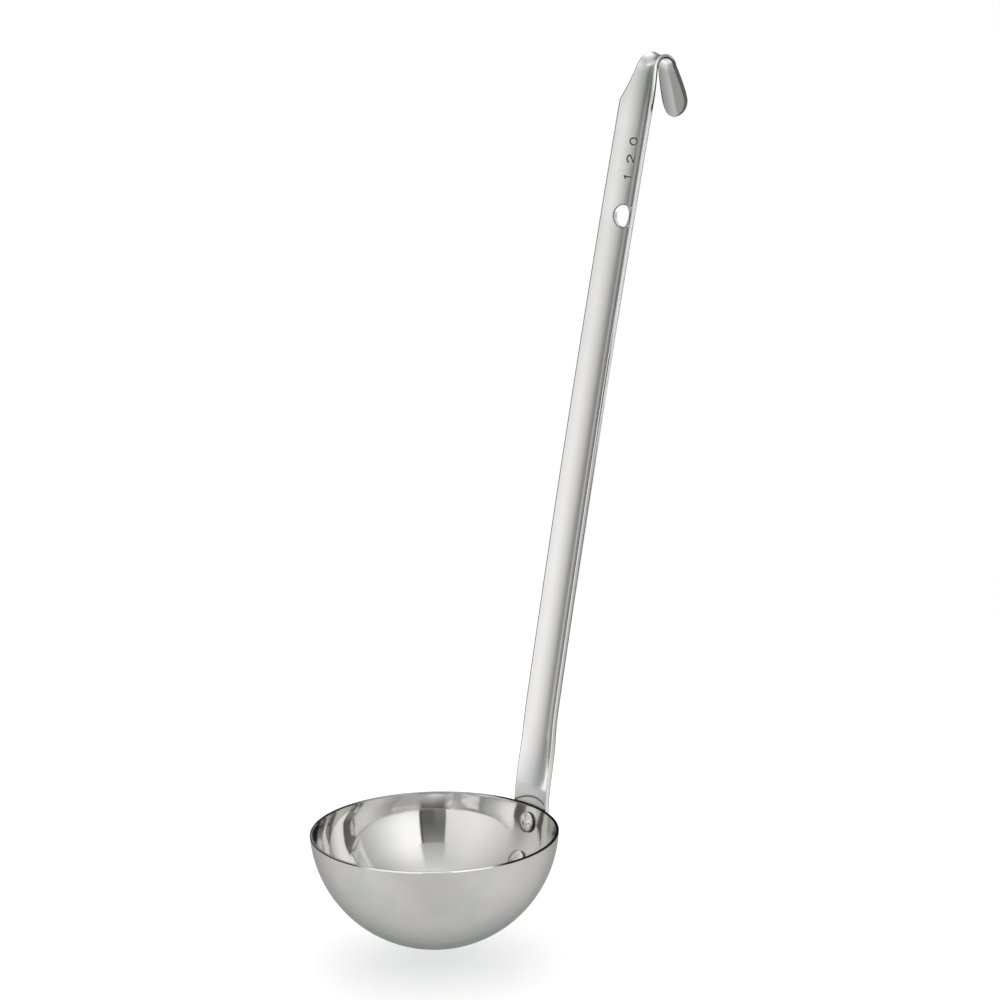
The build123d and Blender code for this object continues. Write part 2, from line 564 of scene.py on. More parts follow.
def turned_piece(name, centre, axis, profile, steps, materials, indices=None):
    """A piece turned about an axis from a profile of (radius, height, edge measure) points.

    Indices give the material from each point of the profile to the next.
    """
    other = axis.cross(across)
    points, faces, marks, edges = [], [], [], []
    ids = []
    for radius, height, edge in profile:
        middle = centre + axis * height
        if radius < same_place:
            ids.append([len(points)] * steps)
            points.append(middle)
            edges.append(edge)
            continue
        ids.append(list(range(len(points), len(points) + steps)))
        for step in range(steps):
            angle = 2 * pi * step / steps
            points.append(middle + (across * cos(angle) + other * sin(angle)) * radius)
            edges.append(edge)
    for level in range(len(profile) - 1):
        low, high = ids[level], ids[level + 1]
        for step in range(steps):
            after = (step + 1) % steps
            corners = [low[step], low[after], high[after], high[step]]
            faces.append(tuple(dict.fromkeys(corners)))
            marks.append(indices[level] if indices else 0)
    return new_piece(name, points, faces, materials, marks, {"edge": edges})


# The bowl's finish follows a measure called edge: below 0 it is how far down the outside a place
# lies, from 0 to 1 it runs over the rounded rim, and past 1 it is how far down the inside, all in
# millimetres but for the rim's own stretch.
wall_levels = 90
rim_levels = 6
bowl_columns = 240
rivet_columns = 96


def rim_corner(wall_side, inward):
    """One rounded corner of the rim as (radius, height, share of the turn), from the wall up."""
    rows = []
    for inset, drop in rounded(rim_edge_radius, rim_levels)[1:]:
        share = 0.5 * (1 - inset / rim_edge_radius)
        rows.append((wall_side + inward * drop, -ball_height - inset, share))
    return rows


def bowl_mesh(materials):
    """The drawn bowl: its first material is the outside and its second the polished inside."""
    outer_stop = asin((-ball_height - rim_edge_radius) / ball_radius)
    inner_stop = asin((-ball_height - rim_edge_radius) / inner_radius)
    profile = []
    for level in range(wall_levels + 1):
        turn = -pi / 2 + (outer_stop + pi / 2) * level / wall_levels
        down = (turn - outer_stop) * ball_radius / MM
        profile.append((ball_radius * cos(turn), ball_radius * sin(turn), down))
    profile += rim_corner(ball_radius * cos(outer_stop), -1)
    inner_corner = rim_corner(inner_radius * cos(inner_stop), 1)
    profile += [(radius, height, 1.0 - share) for radius, height, share in reversed(inner_corner)]
    marks = [0] * len(profile)
    for level in range(wall_levels + 1):
        turn = inner_stop + (-pi / 2 - inner_stop) * level / wall_levels
        down = 1 + (inner_stop - turn) * inner_radius / MM
        profile.append((inner_radius * cos(turn), inner_radius * sin(turn), down))
        marks.append(1)
    return turned_piece("ladle_bowl", ball_centre, up, profile, bowl_columns, materials, marks)


def rivet_head():
    """Half the outline of a rivet's head as (radius, rise, edge measure), from its top outwards.

    The head's side is rolled, so it is widest a little above what it bears on. The measure is 0 at
    the top and 1 at the foot.
    """
    head, height, roll = rivet_head_radius, rivet_head_height, rivet_roll_radius
    roll_top, roll_foot = radians(50), radians(85)
    dome_share = 0.85
    dome_edge = head - roll + roll * cos(roll_top)
    sag = height - (roll + roll * sin(roll_top))
    dome = (dome_edge**2 + sag**2) / (2 * sag)
    reach = asin(dome_edge / dome)
    dome_steps, roll_steps = 18, 8
    rows = []
    for step in range(dome_steps):
        share = step / dome_steps
        turn = reach * share
        rows.append((dome * sin(turn), height - dome * (1 - cos(turn)), dome_share * share))
    for step in range(roll_steps + 1):
        share = step / roll_steps
        turn = roll_top - (roll_top + roll_foot) * share
        edge = dome_share + (1 - dome_share) * share
        rows.append((head - roll + roll * cos(turn), roll + roll * sin(turn), edge))
    return rows


def rivet_mesh(name, way, materials):
    """A set rivet: a head inside the bowl, its shank, and a head on the strip's back."""
    shank = rivet_shank_radius
    back_radius = ball_radius + strip_thickness
    head = rivet_head()
    profile = [(radius, inner_radius - rise, edge) for radius, rise, edge in head]
    profile.append((shank, sqrt(inner_radius**2 - shank**2), 1.0))
    profile.append((shank, sqrt(back_radius**2 - shank**2), 1.0))
    profile += [(radius, back_radius + rise, edge) for radius, rise, edge in reversed(head)]
    return turned_piece(name, ball_centre, way, profile, rivet_columns, materials)


# Materials

class Tree:
    """Adds nodes and links to one node tree."""

    def __init__(self, tree):
        self.tree = tree

    def node(self, kind, values=None, **settings):
        """Adds a node. Its inputs are given as values or as what feeds them."""
        made = self.tree.nodes.new(kind)
        for name, value in settings.items():
            setattr(made, name, value)
        for name, value in (values or {}).items():
            if isinstance(value, bpy.types.NodeSocket):
                self.link(value, made.inputs[name])
            else:
                made.inputs[name].default_value = value
        return made

    def math(self, operation, first, second=0.0, clamp=False):
        """Adds a calculation with one or two values."""
        made = self.node("ShaderNodeMath", {0: first, 1: second}, operation=operation)
        made.use_clamp = clamp
        return made.outputs[0]

    def both(self, first, second):
        """The product of two masks or values: for masks, where both are 1."""
        return self.math("MULTIPLY", first, second)

    def less(self, first, second):
        """One value less another."""
        return self.math("SUBTRACT", first, second)

    def link(self, value, socket):
        """Feeds a value into a socket."""
        self.tree.links.new(value, socket)

    def blend(self, share, first, second):
        """Goes from a first colour to a second as a share goes from 0 to 1."""
        made = self.node("ShaderNodeMix", {0: share, 6: first, 7: second}, data_type="RGBA")
        return made.outputs[2]

    def step(self, value, low, high):
        """Eases from 0 to 1 as a value goes from low to high."""
        values = {0: value, 1: low, 2: high}
        made = self.node("ShaderNodeMapRange", values, interpolation_type="SMOOTHSTEP")
        return made.outputs[0]


def new_group(name, inputs, outputs):
    """An empty node group, with its inputs as names and values and its outputs as names."""
    group = bpy.data.node_groups.new(name, "ShaderNodeTree")
    for label, value in inputs.items():
        kind = "NodeSocketVector" if isinstance(value, tuple) else "NodeSocketFloat"
        socket = group.interface.new_socket(label, in_out="INPUT", socket_type=kind)
        socket.default_value = value
    for label in outputs:
        group.interface.new_socket(label, in_out="OUTPUT", socket_type="NodeSocketFloat")
    tree = Tree(group)
    entry = group.nodes.new("NodeGroupInput")
    leave = group.nodes.new("NodeGroupOutput")
    return group, tree, entry.outputs, leave.inputs


def smudge_group():
    """Soft cloudy marks: a mask from 0 to 1, with a few small darker specks."""
    group, tree, given, put = new_group(
        "steel_smudges",
        {"Place": (0, 0, 0), "Cloud Scale": 60.0, "Speck Scale": 400.0},
        ["Clouds", "Specks"],
    )
    clouds = tree.node(
        "ShaderNodeTexNoise",
        {"Vector": given["Place"], "Scale": given["Cloud Scale"], "Detail": 3.0},
    )
    specks = tree.node(
        "ShaderNodeTexVoronoi", {"Vector": given["Place"], "Scale": given["Speck Scale"]}
    )
    tree.link(tree.step(clouds.outputs[0], 0.35, 0.7), put["Clouds"])
    near = tree.step(specks.outputs["Distance"], 0.22, 0.05)
    rare = tree.math("GREATER_THAN", specks.outputs["Color"], 0.93)
    tree.link(tree.both(near, rare), put["Specks"])
    return group


def grain_group():
    """Polishing grain: fine lines drawn out along one way, as a height from 0 to 1."""
    group, tree, given, put = new_group(
        "polish_grain", {"Place": (0, 0, 0), "Stretch": (1, 1, 1), "Scale": 900.0}, ["Height"]
    )
    stretched = tree.node(
        "ShaderNodeVectorMath", {0: given["Place"], 1: given["Stretch"]}, operation="MULTIPLY"
    )
    place = stretched.outputs[0]
    lines = tree.node(
        "ShaderNodeTexNoise",
        {"Vector": place, "Scale": given["Scale"], "Detail": 4.0, "Roughness": 0.65},
    )
    tree.link(lines.outputs[0], put["Height"])
    return group


def band_group():
    """Where a measure lies between two values: a mask with soft sides."""
    group, tree, given, put = new_group(
        "measure_band", {"Measure": 0.0, "From": 0.0, "To": 1.0, "Softness": 0.01}, ["Mask"]
    )
    soft = given["Softness"]
    low = tree.less(given["From"], soft)
    start = tree.step(given["Measure"], low, tree.math("ADD", given["From"], soft))
    high = tree.math("ADD", given["To"], soft)
    stop = tree.step(given["Measure"], high, tree.less(given["To"], soft))
    tree.link(tree.both(start, stop), put["Mask"])
    return group


smudges = smudge_group()
grain = grain_group()
band = band_group()


class Steel(Tree):
    """One stainless steel finish: marks change its colour and dullness before it is closed."""

    def __init__(self, name, finish, cloud_colour, cloud_scale, cloud_dull, contour):
        colour, dull = finish
        self.material = bpy.data.materials.new(name)
        self.material.use_nodes = True
        super().__init__(self.material.node_tree)
        self.shader = self.material.node_tree.nodes["Principled BSDF"]
        self.shader.inputs["Metallic"].default_value = 1.0
        self.shader.inputs["Specular Tint"].default_value = (contour, contour, contour, 1)
        self.place = self.node("ShaderNodeTexCoord").outputs["Object"]
        self.clouds = self.group(smudges, {"Cloud Scale": cloud_scale, "Place": self.place})
        cloudy = self.clouds["Clouds"]
        self.colour = self.blend(cloudy, (*colour, 1), (*cloud_colour, 1))
        self.dull = self.math("ADD", self.both(cloudy, cloud_dull), dull)
        self.normal = None

    def group(self, group, values):
        """Adds a shared group of nodes and gives back what comes out of it."""
        return self.node("ShaderNodeGroup", values, node_tree=group).outputs

    def grain(self, stretch, scale, depth, dull_change):
        """Polishing lines: fine ridges, which also vary the dullness."""
        values = {"Stretch": stretch, "Scale": scale, "Place": self.place}
        height = self.group(grain, values)["Height"]
        self.dull = self.math("ADD", self.dull, self.both(height, dull_change))
        self.bump(height, depth)

    def waves(self, scale, depth, mask=None):
        """Soft unevenness of the pressed sheet, everywhere or where a mask says."""
        values = {"Vector": self.place, "Scale": scale, "Detail": 1.0}
        height = self.node("ShaderNodeTexNoise", values).outputs[0]
        if mask:
            height = self.both(self.less(height, 0.5), mask)
        self.bump(height, depth)

    def reach(self, way):
        """How far each place of the surface lies along a way from the hanging hole."""
        values = {0: self.place, 1: way}
        return self.node("ShaderNodeVectorMath", values, operation="DOT_PRODUCT").outputs[1]

    def near(self, place, low, high):
        """A mask that falls from 1 to 0 as the distance from a place goes from low to high."""
        values = {0: self.place, 1: place}
        apart = self.node("ShaderNodeVectorMath", values, operation="DISTANCE").outputs[1]
        return self.step(apart, high, low)

    def bump(self, height, depth):
        """Bends the look of the surface as a height of this depth would."""
        made = self.node("ShaderNodeBump", {"Height": height, "Distance": depth})
        if self.normal:
            self.link(self.normal, made.inputs["Normal"])
        self.normal = made.outputs[0]

    def measure(self, label):
        """What the mesh holds under a name, at each place of its surface."""
        return self.node("ShaderNodeAttribute", attribute_name=label).outputs["Fac"]

    def band(self, measure, low, high, softness):
        """A mask that is 1 where a measure lies between two values."""
        values = {"Measure": measure, "From": low, "To": high, "Softness": softness}
        return self.group(band, values)["Mask"]

    def mark(self, mask, finish):
        """Gives the masked part another colour and dullness."""
        colour, dull = finish
        self.colour = self.blend(mask, self.colour, (*colour, 1))
        self.dull = self.node("ShaderNodeMix", {0: mask, 2: self.dull, 3: dull}).outputs[0]

    def close(self):
        """Puts the finish on the shader and gives the material back."""
        self.link(self.colour, self.shader.inputs["Base Color"])
        self.link(self.dull, self.shader.inputs["Roughness"])
        if self.normal:
            self.link(self.normal, self.shader.inputs["Normal"])
        return self.material


def grey(level):
    """An even grey colour."""
    return (level, level, level)


# Level ways from the ladle: towards the camera and to the image's right
front_way = Vector((0.7865, -0.6176, 0.0))
right_way = Vector((0.6176, 0.7865, 0.0))

# Each finish is a colour and a dullness, from 0 for a mirror to 1 for chalk. First the bowl's.
warm_satin = ((0.53, 0.515, 0.49), 0.28)
cool_satin = ((0.50, 0.52, 0.51), 0.34)
darker_front_satin = ((0.43, 0.42, 0.40), 0.36)
satin_speck = ((0.34, 0.33, 0.31), 0.42)
# The rim's colours are painted reflections: grey behind, a highlight in front, dark at the sides
rim_behind_painted_grey = (grey(0.40), 0.20)
rim_painted_highlight = (grey(0.95), 0.12)
rim_painted_dark_sides = (grey(0.03), 0.30)
rim_far_left_painted_dark = (grey(0.07), 0.30)
mirror_wall = ((0.77, 0.76, 0.74), 0.045)
right_wall = ((0.80, 0.79, 0.77), 0.22)
left_wall = ((0.80, 0.80, 0.77), 0.15)
worked_wall = ((0.77, 0.765, 0.75), 0.26)


def satin_outside():
    """The bowl's outside: brushed to a dull satin, warmer at the rim and cooler below."""
    smudged = (0.475, 0.485, 0.475)
    steel = Steel(
        "satin_bowl_steel", warm_satin, smudged, cloud_scale=70.0, cloud_dull=0.06, contour=0.40
    )
    steel.grain(stretch=(1, 1, 3), scale=700.0, depth=0.004 * MM, dull_change=0.10)
    height = steel.node("ShaderNodeSeparateXYZ", {0: steel.place}).outputs[2]
    drop = steel.step(height, rim_centre.z - 0.3 * bowl_depth, rim_centre.z - bowl_depth)
    steel.mark(drop, cool_satin)
    # A darker patch on the front of the outside, just below the rim
    front_wall = rim_centre + front_way * rim_radius - up * 5 * MM
    front_patch = steel.near(front_wall, 2 * MM, 17 * MM)
    steel.mark(steel.both(front_patch, 0.8), darker_front_satin)
    steel.mark(steel.clouds["Specks"], satin_speck)
    # Painted reflections on the rim
    rim_painted_reflections(steel)
    return steel.close()


def rim_painted_reflections(steel):
    """The rim's painted reflections: grey behind, a bright painted highlight in front and dark
    painted reflections at both sides and before the strip.
    """
    edge = steel.measure("edge")
    front = steel.reach(front_way)
    right = steel.reach(right_way)
    middle = rim_centre.dot(right_way)
    centre_front = rim_centre.dot(front_way)
    top = steel.band(edge, -0.05, 2.0, 0.05)
    steel.mark(top, rim_behind_painted_grey)
    in_front = steel.step(front, centre_front - 4 * MM, centre_front + 4 * MM)
    steel.mark(steel.both(in_front, top), rim_painted_highlight)
    to_left = steel.step(right, middle - 20 * MM, middle - 27 * MM)
    to_right = steel.step(right, middle + 18 * MM, middle + 25 * MM)
    sides = steel.math("MAXIMUM", to_left, to_right)
    outer = steel.band(edge, -0.10, 0.45, 0.04)
    steel.mark(steel.both(sides, outer), rim_painted_dark_sides)
    wide = steel.band(edge, -0.04, 0.78, 0.04)
    steel.mark(steel.both(to_right, wide), rim_painted_dark_sides)
    behind = steel.step(front, centre_front - 6 * MM, centre_front - 12 * MM)
    far_left = steel.step(right, middle - 22 * MM, middle - 30 * MM)
    steel.mark(steel.both(steel.both(behind, far_left), top), rim_far_left_painted_dark)
    steel.mark(steel.both(steel.both(behind, to_right), top), rim_painted_dark_sides)


def curl_at_rim(steel, edge, right):
    """Next to the rim the wall looks curled in on one side and out on the other."""
    curl_stop, curl_run, curl_depth = 6.0, 5.0, 0.65 * MM
    side = steel.step(right, -34 * MM, 34 * MM)
    lean = steel.less(0.5, side)
    left_to_go = steel.less(curl_stop, edge)
    curl = steel.math("MULTIPLY", left_to_go, 1 / curl_run, clamp=True)
    curl = steel.both(steel.math("POWER", curl, 2.0), lean)
    steel.bump(curl, curl_depth)


def mirror_inside():
    """The bowl's inside: polished, with the soft waves of drawn sheet."""
    clouded = (0.74, 0.745, 0.73)
    steel = Steel(
        "mirror_bowl_steel", mirror_wall, clouded, cloud_scale=45.0, cloud_dull=0.02, contour=1.0
    )
    steel.grain(stretch=(1, 1, 2), scale=500.0, depth=0.0004 * MM, dull_change=0.03)
    steel.waves(scale=55.0, depth=0.03 * MM)
    edge = steel.measure("edge")
    steel.waves(scale=120.0, depth=0.10 * MM, mask=steel.step(edge, 16.0, 3.0))
    right = steel.less(steel.reach(right_way), rim_centre.dot(right_way))
    curl_at_rim(steel, edge, right)
    # At the far right and the far left of the photo's view the wall is duller
    steel.mark(steel.step(right, 36.5 * MM, 41.0 * MM), right_wall)
    steel.mark(steel.step(right, -38.0 * MM, -40.0 * MM), left_wall)
    # So is the wall between the rivets
    between = ball_centre + through_wall(rivet_drop + 0.62 * rivet_pitch) * inner_radius
    steel.mark(steel.near(between, 5.0 * MM, 11.0 * MM), worked_wall)
    return steel.close()


# The strip's finishes, with painted light and shade in many of them. Its measures are along, in
# millimetres from the hanging hole, side, from -1 at the left edge to 1 at the right, and depth,
# from 0 on the hollow face to 1 on the back.
polished_face = ((0.78, 0.775, 0.755), 0.13)
# Painted light: the lower hollow face is lighter, warmer on its left half and paler on its right
warm_face_painted_light = ((0.84, 0.82, 0.805), 0.13)
cool_face_painted_light = ((0.835, 0.845, 0.84), 0.13)
# Painted light on the foot, which is paler and cooler
cool_foot_painted_light = ((0.93, 0.94, 0.945), 0.15)
pale_foot_painted_light = ((0.98, 0.99, 0.98), 0.17)
dull_foot = ((0.98, 0.985, 0.98), 0.50)
# A painted dark reflection line across the foot
foot_painted_dark_line = ((0.32, 0.33, 0.32), 0.30)
# Painted shade on the neck
cool_neck_painted_shade = ((0.66, 0.675, 0.665), 0.14)
neck_middle_painted_shade = ((0.60, 0.615, 0.605), 0.14)
# Painted highlight along the strip's right margin
face_margin_painted_highlight = ((0.95, 0.95, 0.94), 0.30)
# Painted shade on the back, and a painted highlight and painted shade on the crook
back_painted_shade = ((0.515, 0.52, 0.50), 0.09)
crook_painted_highlight = ((0.92, 0.92, 0.90), 0.24)
crook_painted_shade = ((0.68, 0.68, 0.67), 0.24)
stamped_floor = (grey(0.11), 0.30)

# Its sheared edge, from the hollow face to the back: a cut part, a torn part and a corner; their
# bright and dark colours are painted highlights and painted dark reflections
cut_painted_highlight = ((0.92, 0.92, 0.91), 0.30)
cut_painted_grey_reflection = ((0.55, 0.56, 0.55), 0.30)
hook_cut_painted_highlight = ((0.82, 0.82, 0.81), 0.20)
crown_cut_painted_dark_reflection = ((0.50, 0.50, 0.49), 0.24)
tear_painted_highlight = ((0.95, 0.96, 0.94), 0.50)
tear_painted_grey_reflection = ((0.66, 0.67, 0.66), 0.40)
painted_dark_reflection_band = (grey(0.05), 0.40)
tear_painted_white_highlight = (grey(0.99), 0.60)
corner_painted_highlight = (grey(0.80), 0.40)
corner_painted_dark_reflection = (grey(0.28), 0.30)
corner_painted_grey_reflection = (grey(0.50), 0.30)
left_corner_painted_shade_line = (grey(0.10), 0.25)
painted_black_shade_line = (grey(0.05), 0.35)
tip_painted_shade_border = (grey(0.16), 0.35)

# Places along the strip in the measure's own millimetres
shoulder_mark = shoulder_at / MM
crook_mark = crook_at / MM
tip_mark = tip_at / MM

# Where the edge starts in depth, and how soft its marks are there and further in
face_end = 0.008
face_softness = 0.004
tear_softness = 0.03


def face_painted_light(steel, along, side):
    """The hollow face: lower down it is painted lighter, warmer on its left half and a little paler
    on its right.
    """
    lower = steel.step(along, -10.0, -130.0)
    right_half = steel.step(side, -0.5, 0.35)
    # Painted light on the lower hollow face
    steel.mark(lower, warm_face_painted_light)
    steel.mark(steel.both(lower, right_half), cool_face_painted_light)


def foot_painted_light_and_dullness(steel, along, side):
    """The foot: painted paler and cooler, first on its right half, and dull just over the rim, with
    a painted dark reflection line.
    """
    # Painted light: the foot is paler and cooler
    steel.mark(steel.step(along, -176.0, -196.0), cool_foot_painted_light)
    far_half = steel.step(side, 0.2, 0.55)
    near_foot = steel.step(along, -145.0, -178.0)
    steel.mark(steel.both(far_half, near_foot), pale_foot_painted_light)
    steel.mark(steel.step(along, -196.5, -199.5), dull_foot)
    # A painted dark reflection: a plain dark line arches across the dull part
    arch_middle, arch_bend = 0.2, 2.0
    off_middle = steel.math("POWER", steel.less(side, arch_middle), 2.0)
    arch = steel.math("ADD", along, steel.both(off_middle, arch_bend))
    steel.mark(steel.band(arch, -201.2, -200.5, 0.15), foot_painted_dark_line)


def neck_painted_shade(steel, along, side):
    """The neck: painted shade, cooler and darker, and darkest along its middle."""
    neck = steel.step(along, shoulder_mark - 9.0, shoulder_mark + 7.0)
    # Painted shade: the neck is cooler and darker, darkest along its middle
    steel.mark(neck, cool_neck_painted_shade)
    steel.mark(steel.both(neck, steel.band(side, 0.0, 0.55, 0.2)), neck_middle_painted_shade)


def back_and_crook_painted_light(steel, depth, along, side):
    """The back, painted darker as shade, and the crook, painted paler as a highlight but for its
    right side, which is painted shade.
    """
    # Painted shade on the back
    steel.mark(steel.band(depth, 0.97, 2.0, 0.02), back_painted_shade)
    crook = steel.band(along, crook_mark - 1.0, tip_mark + 1.0, 1.5)
    steel.mark(steel.both(crook, 0.9), crook_painted_highlight)
    steel.mark(steel.both(crook, steel.step(side, 0.1, 0.6)), crook_painted_shade)


def edge_part(steel, depth, start, stop, zone, finish):
    """Marks the sheared edge between two depths, where a zone along the strip says."""
    softness = face_softness if start == face_end else tear_softness
    mask = steel.band(depth, start, stop, softness)
    if zone:
        mask = steel.both(mask, zone)
    steel.mark(mask, finish)


def sheared_edge(steel, depth, along, side):
    """The sheared edge: a bright cut in front and a torn part behind, changing down the strip,
    their colours painted highlights and painted dark reflections, with a painted shade line at the
    left corner.
    """
    top = steel.step(along, -52.0, -26.0)
    low = steel.step(along, -58.0, -98.0)
    between = steel.less(steel.less(1.0, top), low)
    # Painted highlights and painted dark reflections on the sheared edge
    for start, stop, zone, finish in (
        (face_end, 0.22, None, cut_painted_highlight),
        (0.22, 0.96, None, tear_painted_highlight),
        (0.22, 0.70, low, tear_painted_grey_reflection),
        (0.24, 0.46, between, painted_dark_reflection_band),
        (0.82, 0.96, None, corner_painted_highlight),
        (0.72, 0.97, low, corner_painted_dark_reflection),
        (0.32, 0.80, top, tear_painted_white_highlight),
        (0.83, 0.96, top, corner_painted_grey_reflection),
        (face_end, 0.28, top, cut_painted_grey_reflection),
    ):
        edge_part(steel, depth, start, stop, zone, finish)
    # Painted shade line along the left corner next to the hollow face
    corner = steel.band(depth, 0.006, 0.13, face_softness)
    left = steel.step(side, -0.5, -0.9)
    steel.mark(steel.both(corner, left), left_corner_painted_shade_line)


def hook_edge(steel, depth, along, side):
    """The hook's edge: a cut painted pale as a highlight and grey at the crown, and a black painted
    shade line at the corner; at the tip the painted shade line goes right through and round the
    border.
    """
    hooked = steel.step(along, shoulder_mark - 3.0, shoulder_mark - 1.0)
    edge_part(steel, depth, 0.10, 0.66, hooked, hook_cut_painted_highlight)
    crowned = steel.step(along, crook_mark + 2.0, crook_mark + 5.0)
    edge_part(steel, depth, 0.10, 0.66, crowned, crown_cut_painted_dark_reflection)
    # Painted shade lines: black at the back corner, and at the tip right through and round the
    # border
    back_corner = steel.band(depth, 0.66, 0.995, face_softness)
    steel.mark(steel.both(back_corner, hooked), painted_black_shade_line)
    tipped = steel.step(along, tip_mark - 3.0, tip_mark + 1.0)
    whole_edge = steel.band(depth, 0.004, 0.996, face_softness)
    steel.mark(steel.both(whole_edge, tipped), painted_black_shade_line)
    border = steel.step(steel.math("ABSOLUTE", side), 0.88, 0.96)
    steel.mark(steel.both(border, tipped), tip_painted_shade_border)


def strip_finish():
    """The strip: polished lengthways, with sheared edges and darkened stamped numbers."""
    clouded = (0.74, 0.75, 0.74)
    steel = Steel(
        "polished_strip_steel",
        polished_face,
        clouded,
        cloud_scale=40.0,
        cloud_dull=0.03,
        contour=0.85,
    )
    steel.grain(stretch=(1, 1, 0.06), scale=1500.0, depth=0.001 * MM, dull_change=0.05)
    depth = steel.measure("depth")
    side = steel.measure("side")
    along = steel.measure("along")
    face_painted_light(steel, along, side)
    foot_painted_light_and_dullness(steel, along, side)
    neck_painted_shade(steel, along, side)
    # Painted highlight along the right margin of the hollow face
    steel.mark(steel.step(side, 0.90, 0.96), face_margin_painted_highlight)
    back_and_crook_painted_light(steel, depth, along, side)
    sheared_edge(steel, depth, along, side)
    hook_edge(steel, depth, along, side)
    steel.mark(steel.step(steel.measure("stamped"), 0.08, 0.6), stamped_floor)
    hole_painted_shade_and_highlight(steel, depth)
    return steel.close()


# A painted shade line and a painted highlight at the hanging hole
hole_painted_shade_line = (grey(0.22), 0.25)
hole_wall_painted_highlight = (grey(0.95), 0.25)


def hole_painted_shade_and_highlight(steel, depth):
    """The hanging hole: a wall painted bright as a highlight, and a painted shade line round it on
    the hollow face.
    """
    wide = steel.reach(across)
    high = steel.reach(hole_way)
    squared = steel.math("ADD", steel.both(wide, wide), steel.both(high, high))
    radius = steel.math("SQRT", squared)
    line = steel.band(radius, hole_radius + 0.02 * MM, hole_radius + 0.38 * MM, 0.05 * MM)
    face = steel.band(depth, -1.0, 0.3, 0.1)
    # Painted shade line round the hole
    steel.mark(steel.both(line, face), hole_painted_shade_line)
    # Painted highlight on the hole's wall
    wall = steel.step(radius, hole_radius + 0.04 * MM, hole_radius + 0.01 * MM)
    steel.mark(wall, hole_wall_painted_highlight)


bright_rivet = ((0.78, 0.775, 0.75), 0.10)
# A painted shadow line round each rivet head
rivet_painted_shadow_line = (grey(0.10), 0.25)


def rivet_finish():
    """The rivets: hammered heads, with a painted shadow line round their edge."""
    clouded = (0.60, 0.61, 0.59)
    steel = Steel(
        "rivet_steel", bright_rivet, clouded, cloud_scale=420.0, cloud_dull=0.10, contour=0.3
    )
    steel.grain(stretch=(1, 1, 1), scale=900.0, depth=0.01 * MM, dull_change=0.04)
    steel.waves(scale=420.0, depth=0.30 * MM)
    edge = steel.measure("edge")
    # Painted shadow where each head meets the surface it bears on
    steel.mark(steel.band(edge, 0.90, 2.0, 0.03), rivet_painted_shadow_line)
    return steel.close()


satin_bowl = satin_outside()
mirror_bowl = mirror_inside()
handle_steel = strip_finish()
rivet_steel = rivet_finish()

pieces = {
    "bowl": (bowl_mesh([satin_bowl, mirror_bowl]), "bowl_steel"),
    "handle": (handle_mesh([handle_steel]), "handle_steel"),
}
for name, distance in (("upper_rivet", rivet_drop), ("lower_rivet", rivet_drop + rivet_pitch)):
    made = rivet_mesh("ladle_" + name, through_wall(distance), [rivet_steel])
    pieces[name] = (made, "rivet_steel")
for node, (piece, slot) in pieces.items():
    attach(piece, "root")
    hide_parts(node)


# Camera: the photograph's view

camera_place = Vector((1208.0, -1003.31, 322.33)) * MM
camera_right = Vector((0.62142, 0.78325, -0.0189))
camera_up = Vector((-0.1914, 0.17516, 0.96576))
camera_back = Vector((0.75974, -0.59652, 0.25877))
camera_lens = 171.01

camera_data = bpy.data.cameras.new("photo_camera")
camera_data.lens = camera_lens
camera_data.sensor_width = 36.0
camera = bpy.data.objects.new("photo_camera", camera_data)
bpy.context.scene.collection.objects.link(camera)
turn = Matrix((camera_right, camera_up, camera_back)).transposed()
camera.matrix_world = Matrix.Translation(camera_place) @ turn.to_4x4()
bpy.context.scene.camera = camera


# Floor and studio

floor_gap = 6.0 * MM
floor_radius = 450.0 * MM
floor_lift = 0.4
floor_sides = 96


def floor_paper():
    """Dull pale paper that shines a little, so that it shows as white."""
    material = bpy.data.materials.new("pale_floor")
    material.use_nodes = True
    tree = Tree(material.node_tree)
    shader = material.node_tree.nodes["Principled BSDF"]
    shader.inputs["Base Color"].default_value = (*grey(0.9), 1)
    shader.inputs["Roughness"].default_value = 0.9
    shader.inputs["Specular IOR Level"].default_value = 0.0
    shader.inputs["Emission Color"].default_value = (*grey(1), 1)
    path = tree.node("ShaderNodeLightPath").outputs
    seen = tree.math("MAXIMUM", path["Is Camera Ray"], path["Is Glossy Ray"])
    seen = tree.math("MAXIMUM", seen, path["Is Transmission Ray"])
    lift = tree.both(seen, floor_lift)
    tree.link(lift, shader.inputs["Emission Strength"])
    return material


def make_floor():
    """A round sheet of pale paper below the ladle."""
    level = cad_low.z - floor_gap
    points = []
    for side in range(floor_sides):
        turn = 2 * pi * side / floor_sides
        place = rim_centre + Vector((cos(turn), sin(turn), 0)) * floor_radius
        points.append((place.x, place.y, level))
    floor = new_piece("studio_floor", points, [tuple(range(floor_sides))], [floor_paper()])


make_floor()


# The studio's brightness, by the way seen from the ladle. Round is in degrees from the camera's
# side, growing to the right of the image, and up is in degrees from level. Each list of stops has
# the brightness at a few angles, round or up.

# The dark gap between the two panels, and the dark opening behind the ladle
gap_low, gap_high, gap_top = -11.0, 15.5, 35.5
gap_soft = 0.6
back_low, back_high = -150.0, 158.0
back_soft = 6.0

